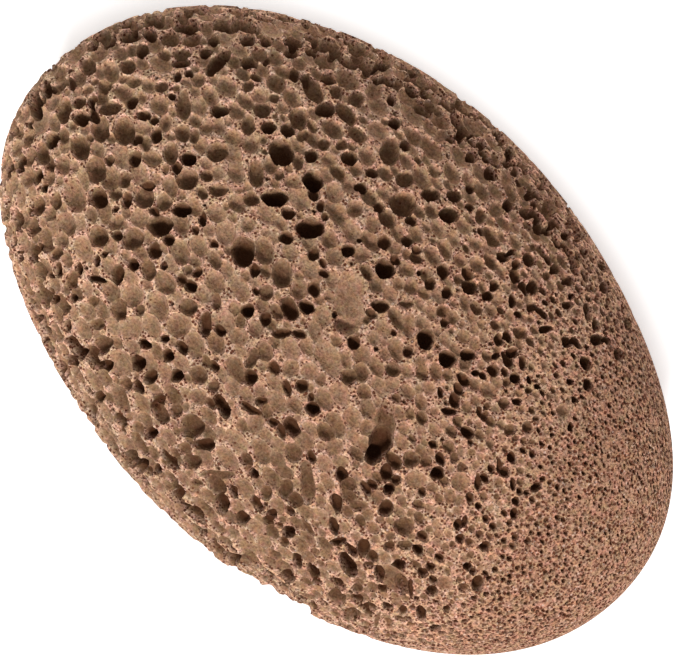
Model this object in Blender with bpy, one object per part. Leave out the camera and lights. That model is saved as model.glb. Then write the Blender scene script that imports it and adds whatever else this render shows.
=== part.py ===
"""A foot-care pumice stone: one oval pebble of porous lava, worn smooth, with open gas pores.

The stone is one solid. +X runs along its long axis towards the fine-grained end, +Y across it,
+Z up. Its origin is the bottom centre of its box, on the small worn flat that it rests on.
"""

import math

import bmesh
import bpy
from mathutils import Matrix, Vector
from mathutils.bvhtree import BVHTree

MM = 0.001

# Overall size of the stone.
LENGTH = 96.0 * MM
WIDTH = 62.8 * MM
THICKNESS = 44.0 * MM

# Depth rubbed off the underside, which leaves the flat that the stone rests on.
WORN_FLAT = 1.0 * MM

# Fineness of the ball that the stone is shaped from, and of each pore cutter.
STONE_SUBDIVISIONS = 5
PORE_SUBDIVISIONS = 2

# The outline's departure from a true oval, as shares of its radius.
THREE_LOBES = -0.0047
FOUR_LOBES = 0.0078
SIX_LOBES = -0.0039
# Slow swells over the whole skin, as shares of its radius.
SWELL = 0.007

# Part of a cutter's depth that its centre sits below the skin, so that the pore's walls stay steep.
PORE_SINK = 0.12

# Colour of the stone, linear.
STONE_COLOUR = (0.245, 0.130, 0.082, 1.0)
STONE_ROUGHNESS = 0.92

# The widest pores of the upper face: place along X and Y, long and short width of the mouth,
# turn of its long width from +X in degrees, and depth. All lengths are in millimetres.
UPPER_PORES = (
    (-24.0, -6.0, 3.7, 3.0, 43, 1.5),
    (-14.8, -1.1, 4.2, 2.8, -47, 1.6),
    (-10.8, 6.3, 3.8, 2.6, 43, 1.9),
    (-19.7, 10.7, 3.5, 3.2, -47, 2.0),
    (-14.5, 10.8, 2.8, 2.8, 0, 1.8),
    (-16.4, 5.9, 3.3, 2.7, 43, 1.7),
    (-11.9, -10.7, 3.6, 1.6, -47, 1.2),
    (-0.8, 9.0, 2.7, 2.5, -47, 1.7),
    (8.6, 6.4, 2.7, 2.2, -47, 1.6),
    (13.3, -7.0, 7.2, 2.7, -62, 1.8),
    (-7.1, -28.9, 3.7, 1.7, 8, 1.2),
    (-2.1, -21.6, 3.0, 1.8, 43, 1.5),
    (4.4, -25.3, 2.8, 2.2, -37, 1.3),
    (-3.9, -16.4, 3.3, 1.6, -15, 1.5),
    (-6.2, -2.4, 3.1, 2.1, -32, 1.4),
    (-1.0, 3.1, 8.7, 4.0, -47, 0.8),
    (20.7, -20.0, 3.3, 2.0, -22, 1.5),
    (25.8, -17.5, 4.2, 3.5, -47, 0.8),
    (17.4, -5.6, 2.3, 2.1, 43, 1.1),
    (19.9, 1.5, 1.9, 1.6, 43, 1.3),
    (24.8, 17.4, 2.0, 1.6, -47, 1.3),
    (0.4, 19.1, 2.6, 2.3, 43, 1.3),
    (-28.9, -11.9, 2.8, 2.7, -47, 1.1),
    (-28.0, -4.8, 3.2, 2.5, -47, 1.1),
    (-32.9, 13.4, 4.4, 1.9, -82, 1.1),
    (-35.5, -0.5, 4.0, 2.8, -47, 1.1),
    (-4.6, 16.4, 3.6, 3.2, 43, 0.8),
    (22.3, -12.1, 2.6, 2.1, 43, 1.2),
)

# The widest pores of the underside, listed in the same way.
LOWER_PORES = (
    (-30.0, 6.0, 3.4, 2.8, 20, 1.5),
    (-22.0, -11.0, 3.0, 2.6, 70, 1.3),
    (-19.0, 9.0, 3.6, 2.6, -30, 1.5),
    (-6.0, 18.0, 3.0, 2.4, 55, 1.4),
    (-9.0, -17.0, 3.2, 2.4, -15, 1.4),
    (5.0, -21.0, 2.6, 2.2, 80, 1.2),
    (17.0, 12.0, 2.6, 2.0, 35, 1.1),
    (29.0, 4.0, 2.0, 1.7, 0, 0.9),
)


def clear_scene():
    """Removes every object that the file holds."""
    for old in list(bpy.data.objects):
        bpy.data.objects.remove(old, do_unlink=True)


def new_collection(name):
    """Makes a collection in the scene."""
    collection = bpy.data.collections.new(name)
    bpy.context.scene.collection.children.link(collection)
    return collection


def stone_material():
    """Makes the stone's matt reddish-brown material."""
    material = bpy.data.materials.new("porous_lava")
    material.use_nodes = True
    shader = material.node_tree.nodes["Principled BSDF"]
    shader.inputs["Base Color"].default_value = STONE_COLOUR
    shader.inputs["Roughness"].default_value = STONE_ROUGHNESS
    shader.inputs["Metallic"].default_value = 0.0
    return material


def skin_radius(direction):
    """Gives the share of the oval's radius at which the skin lies in a direction."""
    around = math.atan2(direction.y, direction.x)
    level = 1.0 - direction.z**2
    lobes = (
        THREE_LOBES * math.sin(3.0 * around)
        + FOUR_LOBES * math.sin(4.0 * around)
        + SIX_LOBES * math.cos(6.0 * around)
    )
    swell = math.sin(3.1 * direction.x + 1.7) * math.cos(2.7 * direction.y - 0.6)
    swell += math.sin(4.3 * direction.y + 2.2 * direction.z + 0.9) * math.cos(3.7 * direction.x)
    return 1.0 + lobes * level + SWELL * swell * (1.0 - level * level)


def shape_ball(mesh):
    """Turns the unit ball into the stone's oval, with its slow swells."""
    for vertex in mesh.verts:
        direction = vertex.co.normalized()
        radius = skin_radius(direction)
        vertex.co.x = 0.5 * LENGTH * direction.x * radius
        vertex.co.y = 0.5 * WIDTH * direction.y * radius
        vertex.co.z = 0.5 * THICKNESS * direction.z * radius


def wear_flat(mesh):
    """Rubs the lowest part away and closes the cut with one flat face."""
    lowest = min(vertex.co.z for vertex in mesh.verts)
    cut = bmesh.ops.bisect_plane(
        mesh,
        geom=mesh.verts[:] + mesh.edges[:] + mesh.faces[:],
        dist=1e-7,
        plane_co=(0.0, 0.0, lowest + WORN_FLAT),
        plane_no=(0.0, 0.0, 1.0),
        clear_inner=True,
    )
    rim = [item for item in cut["geom_cut"] if isinstance(item, bmesh.types.BMEdge)]
    bmesh.ops.edgeloop_fill(mesh, edges=rim)
    bmesh.ops.recalc_face_normals(mesh, faces=mesh.faces[:])


def fit_to_size(mesh):
    """Scales the shape to the stated length, width and thickness, bottom centre at the origin."""
    size = Vector((LENGTH, WIDTH, THICKNESS))
    low = Vector([min(vertex.co[axis] for vertex in mesh.verts) for axis in range(3)])
    high = Vector([max(vertex.co[axis] for vertex in mesh.verts) for axis in range(3)])
    for vertex in mesh.verts:
        for axis in range(3):
            share = (vertex.co[axis] - low[axis]) / (high[axis] - low[axis])
            vertex.co[axis] = size[axis] * (share - (0.0 if axis == 2 else 0.5))


def build_stone(collection, material):
    """Makes the stone without its pores, and the tree that finds points on its skin."""
    mesh = bmesh.new()
    bmesh.ops.create_icosphere(mesh, subdivisions=STONE_SUBDIVISIONS, radius=1.0)
    shape_ball(mesh)
    wear_flat(mesh)
    fit_to_size(mesh)
    skin = BVHTree.FromBMesh(mesh)
    data = bpy.data.meshes.new("pumice_stone")
    mesh.to_mesh(data)
    mesh.free()
    data.materials.append(material)
    data.shade_smooth()
    data.set_sharp_from_angle(angle=math.radians(40.0))
    stone = bpy.data.objects.new("pumice_stone", data)
    collection.objects.link(stone)
    return stone, skin


def pore_matrix(skin, pore, side):
    """Places a unit ball as one pore on the upper (side 1) or lower (side -1) skin."""
    x, y, long_width, short_width, turn, depth = pore
    start = Vector((x * MM, y * MM, side * 2.0 * THICKNESS))
    point, normal, _, _ = skin.ray_cast(start, Vector((0.0, 0.0, -side)))
    along = Vector((math.cos(math.radians(turn)), math.sin(math.radians(turn)), 0.0))
    across = normal.cross(along).normalized()
    along = across.cross(normal).normalized()
    frame = Matrix((along, across, normal)).transposed().to_4x4()
    size = Matrix.Diagonal((0.5 * long_width * MM, 0.5 * short_width * MM, depth * MM, 1.0))
    return Matrix.Translation(point - normal * PORE_SINK * depth * MM) @ frame @ size


def add_pore(collection, name, matrix):
    """Adds one pore cutter, an oval ball, to the cutters."""
    mesh = bmesh.new()
    bmesh.ops.create_icosphere(mesh, subdivisions=PORE_SUBDIVISIONS, radius=1.0, matrix=matrix)
    bmesh.ops.recalc_face_normals(mesh, faces=mesh.faces[:])
    data = bpy.data.meshes.new(name)
    mesh.to_mesh(data)
    mesh.free()
    cutter = bpy.data.objects.new(name, data)
    cutter.hide_render = True
    cutter.display_type = "WIRE"
    collection.objects.link(cutter)


def cut_pores(stone, cutters):
    """Cuts every pore out of the stone."""
    modifier = stone.modifiers.new("pores", "BOOLEAN")
    modifier.operation = "DIFFERENCE"
    modifier.solver = "EXACT"
    modifier.operand_type = "COLLECTION"
    modifier.collection = cutters


def main():
    clear_scene()
    collection = new_collection("pumice_stone")
    cutters = new_collection("cutters")
    stone, skin = build_stone(collection, stone_material())
    for index, pore in enumerate(UPPER_PORES):
        add_pore(cutters, f"upper_pore_{index:02d}", pore_matrix(skin, pore, 1))
    for index, pore in enumerate(LOWER_PORES):
        add_pore(cutters, f"lower_pore_{index:02d}", pore_matrix(skin, pore, -1))
    cut_pores(stone, cutters)


main()
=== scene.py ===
"""A pumice stone for foot care, with the open gas pores of its skin, on a plain pale floor."""

import math

import bpy
import numpy as np
from bpy.props import FloatProperty, FloatVectorProperty, IntProperty, PointerProperty
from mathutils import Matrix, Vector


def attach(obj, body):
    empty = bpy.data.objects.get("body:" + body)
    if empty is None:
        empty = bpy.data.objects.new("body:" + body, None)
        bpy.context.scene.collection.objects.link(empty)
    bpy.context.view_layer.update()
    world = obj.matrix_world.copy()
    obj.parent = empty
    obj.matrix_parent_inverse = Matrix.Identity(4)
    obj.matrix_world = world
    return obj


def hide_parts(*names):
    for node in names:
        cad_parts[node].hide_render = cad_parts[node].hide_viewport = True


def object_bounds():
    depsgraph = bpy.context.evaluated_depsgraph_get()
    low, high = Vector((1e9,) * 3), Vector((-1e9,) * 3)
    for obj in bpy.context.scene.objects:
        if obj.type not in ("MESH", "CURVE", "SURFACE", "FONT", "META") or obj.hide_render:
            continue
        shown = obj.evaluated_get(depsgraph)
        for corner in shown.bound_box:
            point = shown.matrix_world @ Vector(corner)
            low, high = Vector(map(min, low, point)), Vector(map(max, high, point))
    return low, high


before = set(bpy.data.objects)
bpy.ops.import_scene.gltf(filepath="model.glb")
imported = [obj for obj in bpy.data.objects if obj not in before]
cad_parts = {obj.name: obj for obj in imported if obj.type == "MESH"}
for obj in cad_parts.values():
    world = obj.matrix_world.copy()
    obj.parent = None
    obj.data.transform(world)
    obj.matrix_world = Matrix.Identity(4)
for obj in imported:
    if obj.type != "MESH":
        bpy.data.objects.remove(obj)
CAD_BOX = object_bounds()

bl_info = {
    "name": "Pumice Stone",
    "version": (1, 0, 0),
    "blender": (4, 5, 0),
    "location": "View3D > Sidebar > Pumice",
    "description": "Builds a porous lava pebble and the plain stage that it lies on",
    "category": "Add Mesh",
}

MM = 0.001
NODE = "pumice_stone"

# The outline's departure from a true oval and the skin's slow swells, as shares of the radius.
THREE_LOBES = -0.0047
FOUR_LOBES = 0.0078
SIX_LOBES = -0.0039
SWELL = 0.007
# Depth rubbed off the underside before the stone is fitted to its box, in mm.
WORN_FLAT = 1.0

# The gas bubbles are drawn out along this direction.
FLOW = np.array((0.94, -0.33, 0.1))

# Deep pores lean over towards this side, the deeper ones more.
LEAN = np.array((0.574, -0.819, 0.0))
LEANING = 0.38
# Width in mm below which a deep pore's depth no longer shrinks with its width.
NARROW = 1.1

# Share of a pore's half width that it goes down, for each kind of listed pore.
BROAD, SHALLOW, MIDDLE, DEEP, DEEPEST = 0.6, 0.7, 1.05, 1.6, 2.1

# Listed pores of the upper face, as seen from above: place along X and Y, and long and
# short width of the mouth, in mm. A round pore has one width. The last number of some is the
# turn of the long width from +X in degrees, where it isn't the usual one.
USUAL_TURN = -47
BROAD_PORES = (
    (-30.7, 8.1, 2.7, 2.2), (-1.0, 3.1, 8.5, 3.9), (1.6, -3.4, 5.3, 2.7, -22), (-16.5, -21.2, 3.2),
    (-18.3, -17.3, 3.2), (19.4, -7.0, 2.9, 2.4, 43), (30.9, -13.7, 2.2, 1.7, 43),
    (2.5, 27.1, 2.4, 1.7),
)
SHALLOW_PORES = (
    (-28.2, 6.7, 2.2, 1.9), (-42.5, 2.7, 1.8, 1.5), (-42.1, 6.1, 2.0, 1.6, 43),
    (-16.7, 23.8, 2.4, 2.2, 43), (-6.8, 25.4, 1.8), (-0.9, -7.6, 2.2), (6.0, 5.9, 3.4, 1.9),
    (-11.2, -13.4, 3.6, 2.4, -22), (-14.4, -13.2, 3.2), (-6.8, -17.7, 2.2),
    (-31.8, -15.3, 2.4, 2.0), (-21.0, -14.2, 3.2, 2.7), (23.5, -3.4, 2.7, 2.4),
    (23.8, -5.5, 1.9, 1.7), (25.8, -17.6, 4.4, 2.9, -2), (18.3, 6.9, 2.4, 2.2, 43),
    (26.7, 11.4, 1.7), (4.2, 23.3, 2.2, 1.9), (0.4, 0.8, 2.7, 1.9, 43),
    (12.3, -5.1, 6.1, 2.9, -55),
)
MIDDLE_PORES = (
    (-38.6, 0.4, 2.9, 2.2, 43), (-37.7, -2.5, 3.4, 2.3), (-35.5, -0.5, 3.9, 2.8),
    (-29.3, 1.5, 3.0, 1.9), (-30.0, 4.2, 2.4, 1.8), (-28.6, 5.0, 1.9, 1.3), (-32.2, 6.7, 3.9, 1.8),
    (-28.0, -4.8, 3.2, 2.4), (-30.9, -6.7, 1.9, 1.6), (-31.2, -4.6, 2.2, 1.8), (-25.5, 0.5, 2.7),
    (-24.3, 2.5, 1.7), (-22.0, 2.1, 2.8, 1.7, 43), (-35.6, -12.6, 2.4, 1.5),
    (-44.2, 2.2, 2.5, 2.1), (-40.9, 1.9, 2.2, 1.8, 43), (-40.6, 5.5, 2.0), (-35.7, 6.6, 1.7),
    (-36.8, 11.2, 2.4, 1.5, 43), (-38.2, 9.7, 1.5), (-37.1, 13.0, 2.4, 1.7, 43),
    (-28.2, 13.8, 1.7, 1.5), (-18.7, 24.6, 1.2), (-15.1, 26.4, 1.5, 1.2, 43), (-19.8, 20.6, 1.7),
    (-17.5, 21.6, 1.9), (-24.8, 12.9, 2.2), (-21.1, 15.3, 2.9, 2.3), (-24.8, 10.4, 2.9, 1.8),
    (-18.9, 14.1, 1.8, 1.5), (-14.9, 16.4, 1.5), (-16.7, 14.9, 1.7), (-17.3, 11.3, 2.1, 1.5),
    (-20.1, 6.8, 3.5, 1.9), (-17.9, 8.5, 1.6), (-10.2, 20.0, 3.6, 2.4), (-6.4, 18.6, 2.4, 2.2, 43),
    (-4.6, 16.4, 3.5, 3.2, 43), (-9.6, 0.2, 4.1, 2.4), (-5.0, -9.8, 2.7, 1.8, -62),
    (4.0, 7.8, 1.7, 1.2, 43), (8.4, 1.0, 1.9), (5.0, -3.4, 2.2), (14.8, -0.9, 1.7),
    (11.9, -4.2, 4.8, 1.8), (-28.9, -11.9, 2.7), (-25.6, -9.2, 2.7), (-27.7, -18.0, 2.3, 1.8),
    (-21.7, -10.6, 3.0, 1.9, -27), (-15.0, -10.6, 2.2), (-13.0, -7.7, 2.4, 1.5),
    (-20.8, -16.7, 2.7, 2.2), (-21.6, -19.8, 1.7, 1.5, 43), (-19.6, -21.2, 2.7, 2.4, 43),
    (-7.4, -20.9, 1.7), (-4.7, -20.7, 3.0), (-31.2, -16.9, 1.7), (-23.9, -18.1, 1.6),
    (-6.1, -15.5, 1.7, 1.5), (-2.0, -24.1, 2.4, 1.9, 23), (1.7, -23.1, 4.4, 1.1, 43),
    (8.8, -18.7, 2.6, 2.1), (10.1, -16.2, 5.6, 1.9, -37), (7.4, -20.7, 1.9, 1.7),
    (0.4, -25.7, 1.8, 1.1, 43), (13.9, -13.0, 1.9), (17.4, -5.6, 2.3, 2.1, 43),
    (18.9, -4.4, 1.7, 1.5), (21.0, -1.8, 1.5, 1.2), (22.4, -2.0, 1.3, 1.1, 43),
    (16.5, -14.1, 2.7, 1.3, 43), (21.8, -9.0, 1.7, 1.2, 43), (22.3, -12.1, 2.6, 2.1, 43),
    (24.0, -13.6, 1.7, 1.2, 43), (32.7, -12.5, 1.6, 1.1, 43), (22.6, -24.2, 2.4, 2.2, 43),
    (25.1, -24.5, 2.9, 1.7, 43), (26.0, -14.5, 2.2, 0.6, 8), (14.2, 21.9, 1.2),
    (16.5, 14.7, 1.9, 1.7, 43), (20.9, 7.0, 1.7, 1.5, 43), (25.0, 6.9, 1.5), (23.5, 5.2, 1.5),
    (-1.0, 30.4, 1.7, 1.1, 33), (2.7, 29.9, 1.7, 0.9, 33), (3.3, 21.7, 2.2, 1.3),
    (8.2, 24.7, 1.5, 0.9, -7), (8.6, 28.2, 2.9, 1.7), (26.7, -14.5, 1.5, 0.9, 6),
    (13.7, -20.3, 2.8, 1.0, -10), (3.6, -19.8, 1.7, 0.7, -77), (27.9, -22.8, 3.2, 0.7, -57),
    (1.9, 3.0, 1.2, 1.0), (2.2, 1.0, 0.7), (27.2, -17.5, 2.2, 1.7, -7),
)
DEEP_PORES = (
    (-40.2, -2.9, 2.1), (-37.2, 2.7, 1.8, 1.6), (-34.9, 2.5, 1.7, 1.3, 43), (-28.5, 9.1, 2.1),
    (-33.6, -0.2, 1.8, 1.5, -77), (-32.2, 1.7, 2.4, 1.5), (-32.1, -2.1, 2.4, 1.8),
    (-32.1, -8.5, 3.2, 2.1), (-29.4, -6.2, 2.2, 1.5), (-41.2, -7.3, 2.2, 2.0), (-40.5, 8.2, 1.8),
    (-34.7, 13.2, 1.8, 1.5, 43), (-35.1, 15.0, 1.5), (-32.9, 13.4, 4.4, 1.8, -82),
    (-36.1, 10.2, 2.7, 1.5, 43), (-35.2, 8.8, 1.5, 1.2), (-44.3, -0.6, 2.0, 1.1, -27),
    (-32.0, 17.8, 2.0, 1.7, 43), (-30.3, 19.2, 1.5), (-27.1, 20.4, 2.0, 1.5, 43),
    (-30.0, 16.0, 2.1, 1.7, 43), (-28.8, 17.6, 1.2), (-23.0, 23.8, 2.1, 1.2, 43),
    (-25.1, 18.6, 2.0, 1.5), (-23.7, 19.3, 1.6), (-21.5, 21.0, 1.8, 1.6, 43),
    (-19.3, 18.2, 2.4, 2.2, 43), (-22.8, 11.8, 2.1), (-20.9, 13.2, 2.1, 1.8),
    (-19.7, 10.7, 3.4, 3.2), (-9.4, 21.7, 1.5), (-16.6, 12.9, 1.9, 1.7), (-13.0, 15.9, 1.9),
    (-9.8, 16.4, 1.5), (-2.9, 19.5, 2.7, 1.6, 43), (-0.7, 21.0, 1.8, 1.6, 43),
    (-14.8, -1.1, 4.1, 2.8), (-13.8, 5.8, 1.8, 1.6), (-11.7, 9.2, 1.9, 1.1), (-6.5, 13.9, 1.5),
    (-12.0, 3.6, 1.7), (-8.3, 4.4, 1.9, 1.6), (-3.0, 11.3, 1.8, 1.5), (-1.1, 13.3, 1.6),
    (-5.7, 3.5, 1.7, 1.3, 43), (-5.4, 1.5, 1.9, 1.7), (-10.2, -3.7, 1.1, 0.8),
    (-6.2, -2.4, 3.0, 2.1, -32), (-4.6, -5.2, 2.7, 1.3, 43), (-2.8, -3.7, 1.7, 1.3, 23),
    (-3.7, -11.6, 2.0), (-2.4, -8.8, 2.1, 1.2, -32), (0.3, -9.5, 2.2, 1.0, -27),
    (1.5, -8.1, 1.8, 1.5), (-0.7, -12.9, 1.7, 1.3, 43), (4.0, -12.5, 2.7, 1.8, -17),
    (2.1, 5.4, 2.4, 1.9, 43), (8.1, 3.6, 1.4), (5.3, 4.1, 1.0, 0.7), (4.6, 13.7, 2.3, 1.6),
    (4.4, 11.6, 1.5), (9.0, 9.2, 1.1), (0.4, 19.1, 2.6, 2.3, 43), (-2.5, 15.5, 1.8, 1.3, 43),
    (13.0, -6.4, 4.1, 2.7, -62), (-27.3, -10.2, 1.4), (-24.2, -5.9, 3.3, 2.7, 43),
    (-22.7, -8.5, 2.5, 1.6), (-26.8, -13.0, 1.0), (-24.0, -13.7, 2.6, 1.6), (-17.1, -6.7, 1.2),
    (-11.9, -10.7, 3.5, 1.6), (-24.2, -22.4, 1.7, 1.1), (-22.9, -23.5, 1.2, 1.0, 43),
    (-12.5, -19.9, 1.8), (-15.6, -26.3, 1.7, 1.5, -22), (-9.7, -21.3, 1.8),
    (-11.7, -26.3, 2.0, 1.1, 3), (-29.8, -18.1, 2.2, 1.2, -32), (-7.7, -13.7, 1.7, 1.3, -32),
    (-2.1, -21.6, 2.9, 1.7, 43), (4.4, -23.1, 1.7, 1.0, -27), (4.4, -25.3, 2.6, 2.0, -37),
    (7.2, -24.9, 1.7), (8.4, -13.7, 1.9, 1.1, -32), (9.6, -22.0, 1.5), (16.3, -26.6, 2.0, 1.1, 23),
    (15.9, -11.9, 2.1, 1.0, -17), (21.0, -7.5, 1.3, 1.1), (25.1, -1.9, 2.4, 1.0),
    (19.1, -12.0, 2.1, 1.8), (31.1, -7.1, 1.3), (20.5, -17.1, 2.3, 1.5),
    (28.0, -17.1, 2.4, 0.7, -42), (30.1, -15.4, 1.5), (33.7, -10.9, 2.0, 1.5),
    (29.4, -19.6, 1.5, 1.1), (33.1, -15.9, 1.0), (6.8, 15.6, 1.9, 1.5), (4.5, 20.4, 1.2, 1.0),
    (8.6, 19.9, 1.8), (10.3, 20.5, 1.5, 1.1), (11.3, 21.7, 1.9, 1.6), (14.4, 23.2, 1.5, 1.2),
    (15.4, 25.2, 1.0), (8.3, 14.5, 2.1), (10.2, 16.6, 1.4), (11.3, 19.2, 1.7, 1.3),
    (13.6, 19.9, 1.9, 1.5), (16.5, 23.2, 1.6, 1.3, 43), (20.5, 25.8, 1.5),
    (18.3, 21.0, 1.5, 1.2, 43), (16.2, 19.3, 0.9), (22.6, 21.6, 1.6, 1.0), (24.9, 21.3, 1.1, 0.9),
    (25.4, 24.5, 1.5, 0.9), (27.0, 20.9, 1.6, 1.3), (17.2, 9.1, 1.7, 1.5), (19.2, 12.3, 1.9, 1.1),
    (19.4, 4.3, 1.5, 0.7, -37), (25.6, 1.2, 1.9, 0.7), (26.9, 13.3, 0.9), (-2.5, 26.1, 1.7, 1.5),
    (1.3, 28.6, 1.5, 1.1), (-2.7, 28.0, 1.1), (2.8, 28.6, 1.2), (7.1, 27.3, 1.0),
    (7.0, 25.6, 1.7, 1.5, 13), (12.5, 28.6, 3.7, 0.9, -17), (15.5, 27.1, 1.5, 0.9, -27),
    (18.3, 27.5, 1.7, 0.7, -17), (-0.7, -14.4, 3.4, 1.0, 11), (2.0, -13.7, 1.7, 1.0, 32),
    (3.5, -13.8, 2.2, 1.0, -33), (15.4, 17.7, 1.7, 1.0, -84), (16.5, 18.3, 2.6, 0.9, -4),
    (17.8, -18.9, 2.1, 0.9, 54), (19.5, -18.4, 2.2, 0.9, -7), (-3.9, -25.9, 3.4, 0.9, -5),
    (7.4, -22.4, 2.4, 1.1, -6), (12.5, 28.6, 2.0, 1.0, -7), (15.3, 25.4, 2.0, 1.0, -17),
)
DEEPEST_PORES = (
    (-40.7, -0.5, 1.7, 1.2), (-27.2, 2.6, 2.0), (-23.6, -2.5, 2.1), (-28.7, -3.3, 1.9, 1.2, 43),
    (-37.7, -12.1, 1.2, 1.0), (-39.4, -11.7, 2.3, 1.3), (-46.0, -5.4, 4.2, 1.7),
    (-18.2, 26.9, 2.5, 1.2, 43), (-14.2, 24.4, 1.7, 1.2), (-11.9, 27.7, 1.3),
    (-11.9, 22.5, 1.7, 1.5, 43), (-9.7, 14.2, 1.7, 1.5, 43), (-14.5, 10.8, 2.8),
    (-16.2, 6.1, 3.3, 2.7, 43), (-5.3, 26.8, 1.5), (-10.8, 6.3, 3.8, 2.5, 43), (-5.5, 7.6, 1.7),
    (-5.4, 9.4, 0.8), (-0.8, 9.0, 2.7, 2.4), (-12.1, -1.7, 1.9, 1.2), (-4.4, -0.8, 1.8),
    (-9.3, -6.0, 1.8), (-7.2, -5.2, 2.1, 1.3), (4.3, -9.2, 1.9, 1.7, 43), (2.5, 0.0, 1.8, 1.5),
    (8.6, 6.4, 2.7, 2.2), (12.3, 6.3, 2.1), (6.6, 12.1, 1.6, 1.2), (2.5, 11.5, 0.8),
    (16.7, 1.8, 2.1, 1.1, 43), (14.3, 2.8, 1.5, 0.7), (13.6, -8.4, 2.7, 1.9, -67),
    (-22.3, -6.2, 1.4), (-21.0, -1.7, 2.1, 1.0), (-26.9, -14.1, 1.5, 0.9),
    (-23.3, -11.4, 1.9, 1.5, -32), (-34.4, -20.3, 1.7, 0.9), (-36.3, -19.4, 1.5, 0.9),
    (-27.8, -16.4, 2.0, 1.0, -37), (-29.9, -19.3, 0.9), (-25.4, -15.7, 2.3, 1.0, 33),
    (-20.6, -9.1, 1.3, 0.7), (-16.5, -8.6, 1.9, 1.5, -22), (-25.9, -19.5, 1.2, 0.7, -27),
    (-10.2, -10.0, 1.8, 1.3, -22), (-15.8, -17.5, 1.7, 1.3, 28), (-14.4, -15.3, 1.0),
    (-12.6, -16.6, 1.7, 1.5), (-14.9, -19.8, 2.2, 1.5, -22), (-17.4, -22.7, 1.5),
    (-20.8, -25.1, 2.0, 1.2, 3), (-10.3, -17.6, 1.8), (-12.9, -21.8, 2.3, 1.2, -17),
    (-9.9, -22.2, 1.0), (-3.9, -16.4, 3.3, 1.5, -15), (-7.7, -24.9, 1.6),
    (-7.1, -28.9, 3.7, 1.7, 8), (-4.2, -27.6, 1.5, 1.1), (4.8, -19.8, 1.1), (12.7, -22.2, 1.6),
    (15.8, -23.9, 2.1, 1.2, -27), (18.2, -23.6, 2.3, 1.2, -17), (9.8, -29.4, 2.0, 1.5, 8),
    (16.2, -28.1, 2.6, 1.2, 28), (-3.5, -25.7, 2.7, 0.6, -2), (16.1, -8.8, 2.3, 1.5),
    (17.9, -10.0, 1.5), (12.3, -12.5, 1.9, 1.5, -27), (14.5, -15.4, 2.7, 1.1, -32),
    (16.1, -17.8, 2.4, 1.1, -27), (19.8, -3.0, 1.6, 1.2), (20.8, -4.4, 1.8),
    (26.9, -7.5, 1.5, 1.0), (27.3, -6.5, 1.7, 0.7), (25.5, -12.9, 1.7, 1.2, 13),
    (20.7, -20.0, 3.3, 1.9, -22), (24.2, -18.3, 2.1, 1.1, -37), (25.1, -16.0, 1.8, 1.5, 43),
    (31.2, -18.3, 2.1, 1.2, -32), (33.8, -18.6, 1.3, 0.9, 43), (31.2, -10.4, 1.0),
    (8.9, 21.0, 0.9), (12.9, 23.3, 1.7, 1.0, -17), (10.5, 15.1, 1.4), (13.2, 16.8, 1.9, 1.1),
    (14.7, 16.1, 1.0), (18.4, 17.2, 1.8, 1.1, 68), (18.1, 22.1, 0.9), (20.6, 22.0, 2.2, 1.2),
    (23.9, 20.4, 1.7, 1.5, 43), (21.3, 17.6, 1.4), (22.3, 18.4, 1.7, 1.1, -17),
    (24.8, 17.4, 1.9, 1.6), (26.7, 15.7, 1.7, 1.2, -67), (25.0, 14.4, 0.9), (15.6, 13.3, 1.6, 1.0),
    (17.4, 12.3, 1.4), (16.1, 10.6, 1.2, 0.8, 73), (15.9, 7.3, 1.0), (13.8, 8.3, 1.7),
    (19.8, 10.3, 1.5), (21.2, 11.3, 1.2, 0.7), (22.5, 11.3, 0.8), (21.9, 8.2, 1.2, 0.8, 43),
    (19.9, 1.5, 1.8, 1.5, 43), (28.8, 10.5, 1.1, 0.7), (26.0, 2.9, 1.5, 1.2),
    (28.4, 0.6, 1.8, 0.7), (30.6, 2.3, 1.5, 1.1, 63), (30.9, -1.9, 1.5, 1.1), (-0.8, 27.0, 1.0),
    (0.4, 27.4, 1.5, 0.7, 18), (0.5, 29.7, 1.5), (-2.0, 30.4, 1.4), (-4.0, 28.6, 1.1, 0.9, 43),
    (0.6, 26.3, 1.7, 1.1, -27), (3.8, 27.9, 0.9), (6.1, 29.4, 1.2, 1.0, 43), (5.9, 27.8, 1.7, 1.1),
    (4.9, 24.9, 1.8, 1.5), (0.1, 23.2, 1.2), (1.6, 21.4, 1.0), (10.4, 26.8, 1.5, 0.9),
    (12.5, 27.0, 1.2), (4.7, -19.7, 1.1), (-1.4, 0.8, 1.0, 0.6),
)
HAND_PLACED = (
    (BROAD, BROAD_PORES),
    (SHALLOW, SHALLOW_PORES),
    (MIDDLE, MIDDLE_PORES),
    (DEEP, DEEP_PORES),
    (DEEPEST, DEEPEST_PORES),
)

# Height in mm that the skin is raised by before the pores take most of it away again.
PROUD = 0.14
# Share of its stated depth that a pore is given, for pores of these half widths in mm.
RELIEF_WIDTHS = (0.25, 0.5, 1.0, 2.0)
RELIEF = (0.65, 0.88, 1.02, 1.05)
# Depth scale in mm of the notches of the waist.
NOTCH = 0.7

# Half widths in mm that the random pores are given in turn, widest first, and the tries for each.
PORE_SIZES = (1.45, 1.25, 1.1, 0.95, 0.82, 0.7, 0.6, 0.5, 0.42, 0.35, 0.3, 0.26)
PORE_TRIES = (400, 2000, 5000, 9000, 13000, 17000, 21000, 26000, 32000, 40000, 48000, 56000)
# The grain gets finer along this direction.
FINE_WAY = (0.965, 0.264)
# Where along that way the fine grain sets in and where it is fully there, in mm, and how many
# times as deep its pores are made at both.
FINE_EDGE, FINE_RELIEF = (24.0, 35.0), (1.0, 1.1)
# The widest half width of those pores, in mm, at places along that way in mm and between them.
WIDEST_PLACES = (-12.0, 0.0, 10.0, 18.0, 26.0, 32.0, 38.0)
WIDEST = (1.45, 1.25, 0.95, 0.75, 0.5, 0.34, 0.27)
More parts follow.
